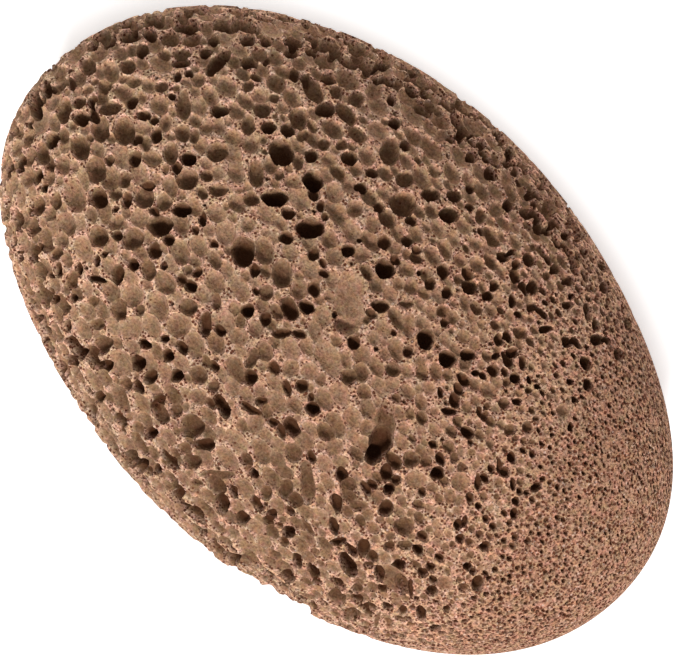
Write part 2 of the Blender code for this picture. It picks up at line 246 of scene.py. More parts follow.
# Least distance of a new pore's centre from the other pores' rims, as a share of its half width,
# for pores of two half widths in mm and those between: the small ones keep apart.
CROWDING_WIDTHS = (0.32, 0.6)
CROWDING = (1.3, 0.5)

# Strength and width in mm of each random field that bends the pores' mouths.
BENDS = ((0.24, 2.1), (0.13, 0.9), (0.05, 0.45))
# The same for the skin's low spots and the waist's notches. Notches are what is above a level.
LOW_SPOTS = ((0.3, 4.2), (0.22, 1.7))
NOTCHES = ((0.35, 3.4), (0.8, 1.6))
NOTCH_LEVEL = 0.1
# The scales of X, Y and Z in the notches' field, which draw the notches out upright.
UPRIGHT = np.array((1.0, 1.0, 0.3))
# Where the notches set in: off the middle height as a share of it, and X and Y in mm.
WAIST, NOTCHED_X, NOTCHED_Y = (0.55, 0.2), (36.0, 24.0), (10.0, -8.0)
# Where the chipped edge sets in along Y, and where it starts and stops along X, in mm.
CHIPPED_Y, CHIPPED_START, CHIPPED_STOP = (-19.0, -25.0), (4.0, 12.0), (30.0, 29.2)
# Depth in mm of the chipped edge, how much more it is notched, and what is rubbed off, in mm.
CHIPPED, CHIPPED_NOTCHES, RUBBED = 0.1, 1.5, 0.24

# Distance inside a rim, in mm, that stands for no pore at all, and the least step round the long
# axis that the grid is taken to have, as a share of its spacing.
NO_RIM, NARROWEST = -2.0, 0.02
# How much farther than its half width a pore's bent rim may reach.
BENT_REACH = 1.15
# Weight of a point's height off a pore's plane, squared, in its distance from the centre.
OFF_PLANE = 0.1
# Depth share where pores start to lean, how much more is full lean, and the least depth left.
LEAN_FROM, LEAN_MOST, LEAN_LEAST = 0.5, 1.6, 0.2
# Most shift of a listed pore down the slope, as a share of twice its depth, and the least
# upward part of the normal that its width is stretched for.
DOWNHILL, STEEPEST = 0.1, 0.4
# Width and strength in mm, and seed, of the field by which the widest pore's size drifts.
DRIFT_WIDTH, DRIFT, DRIFT_SEED = 9.0, 4.0, 77
# Pores narrower than this half width in mm thin out below, from this upward part of the normal
# on, and over this much of it.
UNDERSIDE_LEAST, UNDERSIDE, UNDERSIDE_FADE = 0.4, -0.4, 0.6
# Spread of the pores' long way about the flow, and the most that pores of two half widths in mm
# are drawn out.
FLOW_SPREAD, STRETCH_WIDTHS, STRETCH = 0.35, (0.4, 0.8), (0.15, 0.7)
# Where the sides begin, by the upward part of the normal, and the share of their pores, and of
# those below, that are of a deeper kind.
SIDES, DEEPER_SIDES = (0.75, 0.6), 0.3
# Shares of deep and of shallow pores at these half widths in mm.
KIND_WIDTHS = (0.35, 0.6, 0.9)
DEEP_SHARES, SHALLOW_SHARES = (0.5, 0.2, 0.0), (0.28, 0.6, 0.85)
# Least depth of each kind as a share of the half width, and how much more it may be.
SHALLOW_DEPTHS, MIDDLE_DEPTHS, DEEP_DEPTHS = (0.5, 0.35), (0.85, 0.25), (1.2, 0.8)

# How the thinning sees points, by the upward part of their direction from the middle.
FOCUS_DIRECTIONS, FOCUS = (-1.0, -0.6, -0.1, 0.35), (0.3, 0.36, 0.75, 1.0)
# Edges sharper than this, in degrees, are shaded as sharp.
SHARP = 55.0
# Radius of the map's discs as a share of its width.
DISC = 0.47
# A point is no farther from a wall than this share of the difference between how far it lies
# inside one rim and another, so that overlapping pores keep the wall that they share.
SHARED_WALL = 0.8

# Noise of the skin's grain: waves a mm, detail and roughness. Its values between which it goes
# from its darkest to its palest tone, those tones, and how much less of them the pores show.
GRAIN = (3.2, 3.0, 0.75)
GRAIN_STEP, DARKEST, PALEST, CALMER_INSIDE = (0.3, 0.7), 0.35, 1.65, 0.45
# Patches: waves a mm, detail and roughness of a noise, and the values between which they set in.
MOTTLE = (0.8, 4.0, 0.65, 0.36, 0.62)
DARKER_PATCHES = (0.12, 3.0, 0.5, 0.35, 0.65)
LINING_PATCHES = (0.7, 4.0, 0.7, 0.35, 0.65)
ROSY_PATCHES = (0.9, 5.0, 0.75, 0.32, 0.68)
SANDY_PATCHES = (1.1, 4.0, 0.7, 0.35, 0.65)
# How unevenly the dots' cells lie, from 0 to 1.
UNEVEN_CELLS = 0.85
# Dots: cells a mm, least and most radius in cells, share of the cells that have one, soft edge.
# The pinholes' dark colour is painted shade inside them.
SMALL_PINHOLES = (2.2, 0.22, 0.45, 0.85, 0.07)
LONE_PINHOLES = (1.2, 0.1, 0.22, 0.42, 0.04)
WIDE_PINHOLES = (1.9, 0.16, 0.38, 0.85, 0.06)
PALE_GRAINS = (2.4, 0.2, 0.42, 0.2, 0.06)
# Their strengths, how much fainter the walls' dots get inside pores, and the share of the wide
# pinholes' strength that is left on coarse walls.
SMALL, LONE, WIDE, PALE = 0.92, 0.8, 0.85, 0.38
FAINTER_INSIDE, WIDE_IN_COARSE = 0.75, 0.45
# Strength and shade of the walls' darker patches, and the two shades of the pores' lining.
DARKER, DARKER_SHADE, LINING_SHADES = 0.35, 0.75, (0.76, 1.26)
# Where the lining sets in inside a rim and how far that edge wanders, in mm. The depths, in half
# widths of the pore, between which it covers more of the wall's colour, and how much more.
LINING_EDGE, RAGGED = (0.02, 0.15), 0.16
LINING_DEPTHS, LINING_DEEPENS = (0.1, 0.9), 0.65
# The pale line along the rims, a painted highlight on their edges broken up by the grain: how far
# inside and its reach to both sides in mm, its strength, and the grain's values between which it
# shows.
PAINTED_RIM_HIGHLIGHT, PAINTED_RIM_HIGHLIGHT_REACH, PAINTED_RIM_HIGHLIGHT_STRENGTH, PAINTED_RIM_HIGHLIGHT_GRAIN = 0.01, 0.1, 0.23, (0.35, 0.6)
# Painted shade of the pores' depths: the depths, in half widths of the pore, between which it gets
# dark, and how dark.
PAINTED_SHADE_DEPTHS, PAINTED_SHADE_DARKNESS = (0.1, 1.5), 0.9
# Depth of a pinhole in metres as the bump shows it, and the grain's height as a share of that.
BUMP, GRAIN_HEIGHT = 0.19 * MM, 0.9

# Where the painted light and shade of the sides and the slant's tint set in and are full, along X,
# Y and the slant X + SLOPE Y, in mm.
SLOPE = 0.7
COARSE_TIP_PAINTED_LIGHT_X, PLUS_Y_PAINTED_LIGHT, MINUS_Y_PAINTED_SHADE, SLANT = (0.0, -46.0), (2.0, 28.0), (-6.0, -28.0), (-35.0, 35.0)
# Painted light on the coarse tip and the +Y side, painted shade on the -Y side and more in its
# pores, and tints of the slant, the fine grain and the patches.
COARSE_TIP_PAINTED_LIGHT, PLUS_Y_PAINTED_LIGHT_SIDE, MINUS_Y_PAINTED_SHADE_SIDE = (1.27, 1.27, 1.27), (1.14, 1.14, 1.15), (0.94, 0.94, 0.94)
MINUS_Y_PAINTED_SHADE_PORES, FINE_SIDE, FINE_GRAIN = (0.78, 0.76, 0.74), (1.0, 0.94, 0.92), (0.8, 0.765, 0.745)
ROSY, GREENISH = (1.05, 0.92, 0.91), (0.95, 1.06, 1.02)
SANDY, BLUISH = (1.0, 1.0, 0.9), (1.0, 1.0, 1.09)
# Distance in mm between the fields of the rosy and the sandy patches.
ELSEWHERE = (31.0, 17.0, 5.0)


def colour_setting(name, description, default):
    """A colour among the settings."""
    return FloatVectorProperty(
        name=name, description=description, subtype="COLOR", size=3, default=default
    )


class PumiceSettings(bpy.types.PropertyGroup):
    """Sizes and colours that the stone and its stage are built from."""

    spacing: FloatProperty(
        name="Grid Spacing",
        description="Distance between neighbouring points of the skin before it is thinned",
        default=0.14 * MM,
        min=0.05 * MM,
        unit="LENGTH",
        precision=5,
    )
    triangles: IntProperty(
        name="Triangles",
        description="Number of triangles that the finished skin keeps",
        default=198000,
        min=1000,
    )
    seed: IntProperty(name="Seed", description="Pattern of the smaller pores", default=11)
    crest_colour: colour_setting(
        "Crest", "Colour of the rubbed walls between the pores", (0.49, 0.268, 0.182)
    )
    wall_colour: colour_setting(
        "Wall", "Colour of the beige patches in the walls", (0.40, 0.25, 0.155)
    )
    dish_colour: colour_setting(
        "Pore Lining", "Colour of the smooth lining of the open pores", (0.275, 0.167, 0.097)
    )
    # Painted shade: the near-black that the pores' depths are darkened to.
    painted_deep_shade_colour: colour_setting(
        "Deep Pore", "Colour at the bottom of the deepest pores", (0.05, 0.014, 0.004)
    )
    # Painted shade inside the pinholes, too small to be cut into the skin.
    pinhole_shade_colour: colour_setting(
        "Speck", "Colour of the pinholes in the walls", (0.1, 0.024, 0.01)
    )
    # Also the colour of the painted highlight along the rims.
    fleck_and_rim_highlight_colour: colour_setting("Fleck", "Colour of the pale mineral grains", (0.8, 0.59, 0.48))
    floor_colour: colour_setting("Floor", "Colour of the floor", (0.93, 0.93, 0.93))
    floor_glow: FloatProperty(
        name="Floor Glow", description="Strength of the floor's own even light", default=0.82
    )
    key_strength: FloatProperty(
        name="Key Light", description="Strength of the main soft light", default=3.34
    )
    fill_strength: FloatProperty(
        name="Fill Light", description="Strength of the even light all round", default=0.46
    )


def lattice_noise(points, size, seed):
    """Smooth random field from -1 to 1, one value a point.

    Random numbers stand at the corners of cubes with sides of size mm. Inside a cube they are
    blended along each axis by the weight 3 t^2 - 2 t^3, where t goes from 0 to 1 across it.
    """
    table = np.random.default_rng(seed).uniform(-1.0, 1.0, (32, 32, 32)).astype(np.float32)
    scaled = points.astype(np.float32) / np.float32(size) + np.float32(500.0)
    cell = np.floor(scaled).astype(np.int32)
    part = scaled - cell
    part = part * part * (3.0 - 2.0 * part)
    low = cell & 31
    high = (cell + 1) & 31
    x, y, z = part[..., 0], part[..., 1], part[..., 2]

    def row(j, k):
        first = table[low[..., 0], j, k]
        return first + x * (table[high[..., 0], j, k] - first)

    front = row(low[..., 1], low[..., 2])
    front += y * (row(high[..., 1], low[..., 2]) - front)
    back = row(low[..., 1], high[..., 2])
    back += y * (row(high[..., 1], high[..., 2]) - back)
    return front + z * (back - front)


def smooth_step(low, high, value):
    """0 below low, 1 above high, and 3 t^2 - 2 t^3 between them, with t the share of the way."""
    share = np.clip((value - low) / (high - low), 0.0, 1.0)
    return share * share * (3.0 - 2.0 * share)


def oval_skin(rows, columns, low, high):
    """The stone's skin without pores: rows by columns points, in mm.

    The first parameter t goes from the -X tip to the +X tip and the second, p, goes round the
    long axis, so a point's direction is (-cos t, sin t cos p, sin t sin p). Its distance from
    the centre is the oval's, times one plus the outline's lobes and the slow swells. The
    lowest part is levelled to a flat, and the whole is fitted to the box from low to high.
    """
    t = np.linspace(0.0, math.pi, rows)[:, None]
    p = np.linspace(0.0, 2.0 * math.pi, columns, endpoint=False)[None, :]
    x = -np.cos(t) + 0.0 * p
    y = np.sin(t) * np.cos(p)
    z = np.sin(t) * np.sin(p)
    around = np.arctan2(y, x)
    level = 1.0 - z**2
    lobes = (
        THREE_LOBES * np.sin(3.0 * around)
        + FOUR_LOBES * np.sin(4.0 * around)
        + SIX_LOBES * np.cos(6.0 * around)
    )
    swell = np.sin(3.1 * x + 1.7) * np.cos(2.7 * y - 0.6)
    swell += np.sin(4.3 * y + 2.2 * z + 0.9) * np.cos(3.7 * x)
    radius = 1.0 + lobes * level + SWELL * swell * (1.0 - level * level)
    size = high - low
    points = 0.5 * size * np.stack((x, y, z), axis=-1) * radius[..., None]
    points[..., 2] = np.maximum(points[..., 2], points[..., 2].min() + WORN_FLAT)
    least = points.min(axis=(0, 1))
    most = points.max(axis=(0, 1))
    return low + size * (points - least) / (most - least)


def outward(points):
    """Unit normals of the grid: the cross product of the differences along its two parameters."""
    down = np.gradient(points, axis=0)
    across = np.roll(points, -1, axis=1) - np.roll(points, 1, axis=1)
    normals = np.cross(down, across)
    normals /= np.linalg.norm(normals, axis=-1, keepdims=True) + 1e-12
    centre = 0.5 * (points.min(axis=(0, 1)) + points.max(axis=(0, 1)))
    if np.mean(np.sum(normals * (points - centre), axis=-1)) < 0.0:
        normals = -normals
    normals[0] = (-1.0, 0.0, 0.0)
    normals[-1] = (1.0, 0.0, 0.0)
    return normals


def fineness(points):
    """How far each point lies towards the fine-grained end, in mm from the middle."""
    return points[..., 0] * FINE_WAY[0] + points[..., 1] * FINE_WAY[1]


class PoredSkin:
    """The skin's grid, with its pores' depth and the distance to their rims at each point."""

    def __init__(self, spacing, seed):
        low, high = (np.array(corner) / MM for corner in CAD_BOX)
        size = high - low
        meridian = 0.5 * math.pi * math.hypot(size[0], size[2]) / math.sqrt(2.0)
        girth = math.pi * math.hypot(size[1], size[2]) / math.sqrt(2.0)
        self.spacing = spacing
        self.rows = int(meridian / spacing)
        self.columns = int(girth / spacing)
        self.points = oval_skin(self.rows, self.columns, low, high)
        self.normals = outward(self.points)
        self.bent = self.bend(self.points, seed)
        self.depth = self.wear(self.points, seed)
        self.hollow = np.zeros((self.rows, self.columns))
        self.rim = np.full((self.rows, self.columns), NO_RIM)
        self.second = np.full((self.rows, self.columns), NO_RIM)
        self.random = np.random.default_rng(seed)
        steps = np.linalg.norm(self.points - np.roll(self.points, 1, axis=1), axis=-1)
        self.rings = steps.sum(axis=1)
        self.narrowing = np.maximum(steps.max(axis=1) / spacing, NARROWEST)

    @staticmethod
    def bend(points, seed):
        """Points moved a little by slow random fields, so that round pores come out uneven."""
        moved = points.copy()
        for axis in range(3):
            for turn, (bend, width) in enumerate(BENDS):
                moved[..., axis] += bend * lattice_noise(points, width, seed + 3 * turn + axis)
        return moved

    @staticmethod
    def wear(points, seed):
        """Depth of the chips and low spots of the skin before any pore is cut, in mm.

        Low spots are the parts above zero of a wide and a narrow random field. The waist adds
        upright notches on its coarse sides. A chipped stretch on the -Y side, up to a step in X,
        has more of both. The skin is rubbed down a little, and then stands proud of the oval.
        """
        x, y, z = points[..., 0], points[..., 1], points[..., 2]
        middle = 0.5 * (z.min() + z.max())
        waist = smooth_step(*WAIST, np.abs(z - middle) / middle)
        waist = waist * smooth_step(*NOTCHED_X, x) * (0.5 + 0.5 * smooth_step(*NOTCHED_Y, y))
        rough = smooth_step(*CHIPPED_Y, y) * smooth_step(*CHIPPED_START, x)
        rough = rough * smooth_step(*CHIPPED_STOP, x)
        upright = points * UPRIGHT
        low = notch = 0.0
        for turn, (strength, width) in enumerate(LOW_SPOTS):
            low = low + strength * np.maximum(lattice_noise(points, width, seed + 20 + turn), 0.0)
        for turn, (strength, width) in enumerate(NOTCHES):
            field = lattice_noise(upright, width, seed + 22 + turn)
            notch = notch + strength * np.maximum(field - NOTCH_LEVEL, 0.0)
        notches = NOTCH * notch * waist * (1.0 + CHIPPED_NOTCHES * rough)
        low = low * (1.0 + rough) + CHIPPED * rough + notches
        return np.maximum(low - RUBBED, 0.0) - PROUD

    def nearest(self, x, y):
        """Grid place of the skin point at plan place x, y of the upper side."""
        row = int(np.argmin(np.abs(self.points[:, self.columns // 4, 0] - x)))
        for _ in range(3):
            ring = self.points[row]
            error = np.abs(ring[:, 1] - y)
            error[ring[:, 2] < self.points[0, 0, 2]] = 1e3
            column = int(np.argmin(error))
            row = int(np.argmin(np.abs(self.points[:, column, 0] - x)))
        return row, column

    def window(self, row, column, reach):
        """Rows and columns of the grid within reach mm of a place."""
        down = int(reach / self.spacing) + 2
        rows = slice(max(0, row - down), min(self.rows, row + down + 1))
        least = self.narrowing[rows].min()
        across = min(self.columns // 2 - 1, int(reach / (self.spacing * least)) + 2)
        columns = np.arange(column - across, column + across + 1) % self.columns
        return rows, columns

    def cut(self, row, column, along, across, share, margin):
        """Cuts one pore.

        along and across are its half widths as vectors on the skin. With r the distance from
        its centre, 1 at the rim, and s its depth as a share of the short half width m, a
        shallow pore is the cap of a ball: depth m (sqrt(1 + k^2 - r^2) - k), where
        k = (1 - s^2) / (2 s). A deeper one is a steeper bowl: depth m s sqrt(1 - r^3).
        A deep pore also leans, with its lowest point set off to one side. Then the depth is
        changed a little by the pore's width and in the fine grain. The deepest pore wins.
        (1 - r) m is a point's distance inside the pore's rim, and the skin keeps the two
        largest of these at each point.
        """
        long_half = np.linalg.norm(along)
        short_half = min(long_half, np.linalg.norm(across))
        reach = max(long_half, np.linalg.norm(across)) * BENT_REACH + margin
        rows, columns = self.window(row, column, reach)
        offset = self.bent[rows][:, columns] - self.bent[row, column]
        products = np.array(((along @ along, along @ across), (along @ across, across @ across)))
        local = np.stack((offset @ along, offset @ across), axis=-1) @ np.linalg.inv(products)
        away = np.sum(offset * self.normals[row, column], axis=-1) / short_half
        square = np.sum(local**2, axis=-1) + OFF_PLANE * away**2
        inner = np.clip(1.0 - square, 0.0, 1.0)
        if share < 1.0:
            k = (1.0 - share * share) / (2.0 * share)
            profile = np.sqrt(k * k + inner) - k
        else:
            profile = share * np.sqrt(1.0 - (1.0 - inner) ** 1.5)
        lean = np.array((LEAN @ along / (along @ along), LEAN @ across / (across @ across)))
        lean *= short_half * LEANING * np.clip(share - LEAN_FROM, 0.0, LEAN_MOST)
        profile = profile * np.maximum(1.0 + local @ lean, LEAN_LEAST)
        depth = self.depth[rows, columns]
        relief = short_half * np.interp(short_half, RELIEF_WIDTHS, RELIEF)
        relief *= np.interp(fineness(self.points[row, column]), FINE_EDGE, FINE_RELIEF)
        new_depth = np.where(inner > 0.0, self.depth[row, column] + relief * profile, depth)
        hollow = self.hollow[rows, columns]
        self.hollow[rows, columns] = np.where(new_depth > depth, profile, hollow)
        self.depth[rows, columns] = np.maximum(depth, new_depth)
        rim = (1.0 - np.sqrt(square)) * short_half
        first = self.rim[rows, columns]
        self.second[rows, columns] = np.maximum(self.second[rows, columns], np.minimum(first, rim))
        self.rim[rows, columns] = np.maximum(first, rim)

    def place(self, share, x, y, long_width, short_width=None, turn=USUAL_TURN):
        """Cuts one pore given as seen from above, a round one if it has no short width.

        A slope stretches its width down the slope. A narrow deep pore goes down as far as a
        wider one.
        """
        if short_width is None:
            short_width, turn = long_width, 0
        row, column = self.nearest(x, y)
        shift = DOWNHILL * short_width * share * self.normals[row, column]
        row, column = self.nearest(x + shift[0], y + shift[1])
        normal = self.normals[row, column]
        angle = math.radians(turn)
        cosine, sine = math.cos(angle), math.sin(angle)
        level = np.array(((cosine, sine), (-sine, cosine)))
        halves = np.zeros((2, 3))
        halves[:, :2] = level * np.array(((0.5 * long_width,), (0.5 * short_width,)))
        halves[:, 2] = -(halves[:, :2] @ normal[:2]) / max(normal[2], STEEPEST)
        narrow = max(1.0, NARROW / short_width) if share >= DEEP else 1.0
        self.cut(row, column, halves[0], halves[1], share * narrow, 1.0)

    def widest(self, place, wander):
        """Largest half width that a pore may have at a place: less towards the fine end."""
        return float(np.interp(fineness(place) + DRIFT * wander, WIDEST_PLACES, WIDEST))

    def scatter(self):
        """Fills the skin between the pores so far with random ones, widest first."""
        chances = self.rings / self.rings.sum()
        wander = lattice_noise(self.points, DRIFT_WIDTH, DRIFT_SEED)
        flow = FLOW / np.linalg.norm(FLOW)
        for half, tries in zip(PORE_SIZES, PORE_TRIES):
            gap = half * float(np.interp(half, CROWDING_WIDTHS, CROWDING))
            rows = self.random.choice(self.rows, tries, p=chances)
            columns = self.random.integers(0, self.columns, tries)
            draws = self.random.uniform(0.0, 1.0, (tries, 4))
            for row, column, draw in zip(rows, columns, draws):
                if -self.rim[row, column] < gap:
                    continue
                place = self.points[row, column]
                normal = self.normals[row, column]
                if half > self.widest(place, wander[row, column]):
                    continue
                if half < UNDERSIDE_LEAST and normal[2] < UNDERSIDE - UNDERSIDE_FADE * draw[1]:
                    continue
                along = flow - normal * (flow @ normal)
                along = along + FLOW_SPREAD * (draw[0] - 0.5) * normal[[1, 2, 0]]
                along -= normal * (along @ normal)
                along /= np.linalg.norm(along) + 1e-9
                across = np.cross(normal, along)
                stretch = 1.0 + draw[1] * float(np.interp(half, STRETCH_WIDTHS, STRETCH))
                kind = draw[2] + DEEPER_SIDES * smooth_step(*SIDES, normal[2])
                share = self.depth_share(half, kind, draw[3])
                self.cut(row, column, along * half * stretch, across * half, share, half)

    @staticmethod
    def depth_share(half, kind, draw):
        """Depth of a pore as a share of its half width: the wider ones are mostly shallow.

        kind chooses among shallow, middle and deep, from 0 to 1 and a little more.
        """
        deep = float(np.interp(half, KIND_WIDTHS, DEEP_SHARES))
        shallow = float(np.interp(half, KIND_WIDTHS, SHALLOW_SHARES))
        if kind < shallow:
            least, spread = SHALLOW_DEPTHS
        elif kind < 1.0 - deep:
            least, spread = MIDDLE_DEPTHS
        else:
            least, spread = DEEP_DEPTHS
        return least + spread * draw


def closed_mesh(name, points, values):
    """Makes the mesh of a grid that closes round its columns and has one point at each end.

    points is rows by columns by 3, and values maps attribute names to rows by columns numbers.
    """
    rows, columns = points.shape[:2]
    spots = np.concatenate((points[:1, 0], points[1:-1].reshape(-1, 3), points[-1:, 0]))
    index = 1 + np.arange((rows - 2) * columns).reshape(rows - 2, columns)
    after = np.roll(index, -1, axis=1)
    quads = np.stack((index[:-1], index[1:], after[1:], after[:-1]), axis=-1).reshape(-1, 4)
    first = np.stack((np.zeros(columns, int), index[0], after[0]), axis=-1)
    last = np.stack((np.full(columns, len(spots) - 1), after[-1], index[-1]), axis=-1)
    corners = np.concatenate((first.ravel(), quads.ravel(), last.ravel()))
    counts = np.concatenate((np.full(columns, 3), np.full(len(quads), 4), np.full(columns, 3)))
    starts = np.concatenate(((0,), np.cumsum(counts)[:-1]))
    mesh = bpy.data.meshes.new(name)
    mesh.vertices.add(len(spots))
    mesh.vertices.foreach_set("co", spots.astype(np.float32).ravel())
    mesh.loops.add(len(corners))
    mesh.loops.foreach_set("vertex_index", corners.astype(np.int32))
    mesh.polygons.add(len(starts))
    mesh.polygons.foreach_set("loop_start", starts.astype(np.int32))
    mesh.update(calc_edges=True)
    for label, field in values.items():
        flat = np.concatenate((field[:1, 0], field[1:-1].ravel(), field[-1:, 0]))
        layer = mesh.attributes.new(label, "FLOAT", "POINT")
        layer.data.foreach_set("value", flat.astype(np.float32))
    return mesh


def read_points(mesh):
    """A mesh's points, one row each."""
    spots = np.empty(3 * len(mesh.vertices), np.float32)
    mesh.vertices.foreach_get("co", spots)
    return spots.reshape(-1, 3)


def focus(spots, middle):
    """Share by which thinning sees each point drawn in towards the middle.

    It depends on the direction from the middle alone, 1 for the upper face and less the more
    the direction points down, so that the hidden underside keeps fewer triangles.
    """
    away = spots - middle
    upward = away[:, 2] / np.linalg.norm(away, axis=1)
    return np.interp(upward, FOCUS_DIRECTIONS, FOCUS)[:, None]


def thinned(mesh, triangles, middle):
    """Collapses the edges that matter least until the mesh has about the stated triangles."""
    spots = read_points(mesh)
    lowest = spots[:, 2].min()
    spots = middle + (spots - middle) * focus(spots, middle)
    mesh.vertices.foreach_set("co", spots.astype(np.float32).ravel())
    helper = bpy.data.objects.new("thinning", mesh)
    bpy.context.scene.collection.objects.link(helper)
    modifier = helper.modifiers.new("thin", "DECIMATE")
    modifier.decimate_type = "COLLAPSE"
    full = len(mesh.loops) - 2 * len(mesh.polygons)
    modifier.ratio = min(1.0, triangles / full)
    graph = bpy.context.evaluated_depsgraph_get()
    result = bpy.data.meshes.new_from_object(helper.evaluated_get(graph))
    bpy.data.objects.remove(helper)
    bpy.data.meshes.remove(mesh)
    spots = read_points(result)
    spots = middle + (spots - middle) / focus(spots, middle)
    spots[:, 2] = np.maximum(spots[:, 2], lowest)
    result.vertices.foreach_set("co", spots.astype(np.float32).ravel())
    return result


def two_disc_map(mesh, low, high):
    """Lays the surface out as two discs, the upper half of the stone beside the lower half.

    Each point's direction from the centre, in units of the box's half sizes, has an angle from
    straight up (or down). That angle is the radius in its disc, 1 at the stone's waist.
    """
    count = len(mesh.loops)
    corner = np.empty(count, np.int32)
    mesh.loops.foreach_get("vertex_index", corner)
    unit = (read_points(mesh) - 0.5 * (low + high)) / (0.5 * (high - low))
    unit /= np.linalg.norm(unit, axis=1, keepdims=True)
    starts = np.empty(len(mesh.polygons), np.int32)
    mesh.polygons.foreach_get("loop_start", starts)
    totals = np.diff(np.append(starts, count))
    heights = np.add.reduceat(unit[corner, 2], starts) / totals
    side = np.repeat(np.where(heights >= 0.0, 1.0, -1.0), totals)
    flat = unit[corner]
    angle = np.arccos(np.clip(flat[:, 2] * side, -1.0, 1.0)) / (0.5 * math.pi)
    length = np.hypot(flat[:, 0], flat[:, 1]) + 1e-9
    u = 0.5 + DISC * angle * flat[:, 0] / length
    v = 0.5 + 0.5 * DISC * angle * flat[:, 1] / length - 0.25 * side
    layer = mesh.uv_layers.new(name="OFBake")
    layer.uv.foreach_set("vector", np.stack((u, v), axis=1).astype(np.float32).ravel())


class Nodes:
    """Helper that adds shader nodes to a tree and links them."""

    def __init__(self, tree):
        self.tree = tree

    def add(self, kind, inputs=None, **settings):
        """Adds a node, sets its settings, and sets or links its inputs."""
        node = self.tree.nodes.new(kind)
        for key, value in settings.items():
            setattr(node, key, value)
        for key, value in (inputs or {}).items():
            if isinstance(value, bpy.types.NodeSocket):
                self.tree.links.new(value, node.inputs[key])
            else:
                node.inputs[key].default_value = value
        return node

    def math(self, operation, first, second=0.0, third=0.0):
        """One Math node's value."""
        node = self.add("ShaderNodeMath", {0: first, 1: second, 2: third}, operation=operation)
        return node.outputs[0]

    def step(self, value, low, high):
        """0 below low, 1 above high, smooth between."""
        node = self.add(
            "ShaderNodeMapRange",
            {"Value": value, "From Min": low, "From Max": high},
            interpolation_type="SMOOTHSTEP",
        )
        return node.outputs["Result"]

    def mix(self, factor, first, second, blend="MIX"):
        """Mixes two colours."""
        inputs = {0: factor, 6: first, 7: second}
        node = self.add("ShaderNodeMix", inputs, data_type="RGBA", blend_type=blend)
        return node.outputs[2]

    def tinted(self, factor, colour, tint):
        """A colour multiplied by a tint, as far as the factor says."""
        return self.mix(factor, colour, rgba(tint), "MULTIPLY")

    def attribute(self, name):
        """The value of one of the mesh's attributes."""
        return self.add("ShaderNodeAttribute", attribute_name=name).outputs["Fac"]

    def noise(self, place, scale, detail, roughness):
        """A soft noise's value."""
        node = self.add(
            "ShaderNodeTexNoise",
            {"Vector": place, "Scale": scale, "Detail": detail, "Roughness": roughness},
        )
        return node.outputs["Fac"]

    def patches(self, place, scale, detail, roughness, low, high):
        """Soft patches: 0 where a noise is below low, 1 where it is above high."""
        return self.step(self.noise(place, scale, detail, roughness), low, high)

    def either(self, factor, colour, first, second):
        """A colour with one tint or the other, as far as the factor says."""
        return self.mix(factor, self.tinted(1.0, colour, first), self.tinted(1.0, colour, second))


def rgba(colour):
    """A colour with full alpha."""
    return (*colour, 1.0)


def shade(colour, share):
    """A share of a colour, with full alpha."""
    return rgba([share * part for part in colour])


def dots(n, place, scale, least, most, chosen, edge):
    """Round dots in a field of cells: each has its own radius, and only a share are chosen."""
    inputs = {"Vector": place, "Scale": scale, "Randomness": UNEVEN_CELLS}
    cell = n.add("ShaderNodeTexVoronoi", inputs)
    draw = n.add("ShaderNodeSeparateColor", {0: cell.outputs["Color"]})
    radius = n.math("MULTIPLY_ADD", draw.outputs[0], most - least, least)
    gap = n.math("SUBTRACT", cell.outputs["Distance"], radius)
    dot = n.math("SUBTRACT", 1.0, n.step(gap, -edge, edge))
    picked = n.step(draw.outputs[1], 1.0 - chosen - 0.01, 1.0 - chosen + 0.01)
    return n.math("MULTIPLY", dot, picked)


def wall_and_lining(n, settings, place, rim, hollow, grain):
    """Colour of the skin, how far each point is inside a pore, and how far it is lined.

    The walls are mottled pink and beige, with darker patches and a pale painted highlight along
    their rims.
    The pores' lining has two tones, and it covers more of the wall's colour where it is deep.
    """
    mottle = n.patches(place, *MOTTLE)
    wall = n.mix(mottle, rgba(settings.crest_colour), rgba(settings.wall_colour))
    darker = n.math("MULTIPLY", n.patches(place, *DARKER_PATCHES), DARKER)
    wall = n.mix(darker, wall, shade(settings.crest_colour, DARKER_SHADE))
    dull, bright = (shade(settings.dish_colour, share) for share in LINING_SHADES)
    lining = n.mix(n.patches(place, *LINING_PATCHES), dull, bright)
    uneven = n.math("ADD", rim, n.math("MULTIPLY_ADD", mottle, RAGGED, -0.5 * RAGGED))
    inside = n.step(uneven, *LINING_EDGE)
    shallow = 1.0 - LINING_DEEPENS
    cover = n.math("MULTIPLY_ADD", n.step(hollow, *LINING_DEPTHS), LINING_DEEPENS, shallow)
    lined = n.math("MULTIPLY", inside, cover)
    colour = n.mix(lined, wall, lining)
    # Painted highlight: a pale line along the rims, broken up by the grain.
    off_rim = n.math("ABSOLUTE", n.math("SUBTRACT", rim, PAINTED_RIM_HIGHLIGHT))
    edge = n.math("SUBTRACT", 1.0, n.step(off_rim, 0.0, PAINTED_RIM_HIGHLIGHT_REACH))
    edge = n.math("MULTIPLY", edge, n.step(grain, *PAINTED_RIM_HIGHLIGHT_GRAIN))
    edge = n.math("MULTIPLY", edge, PAINTED_RIM_HIGHLIGHT_STRENGTH)
    return n.mix(edge, colour, rgba(settings.fleck_and_rim_highlight_colour)), inside, lined


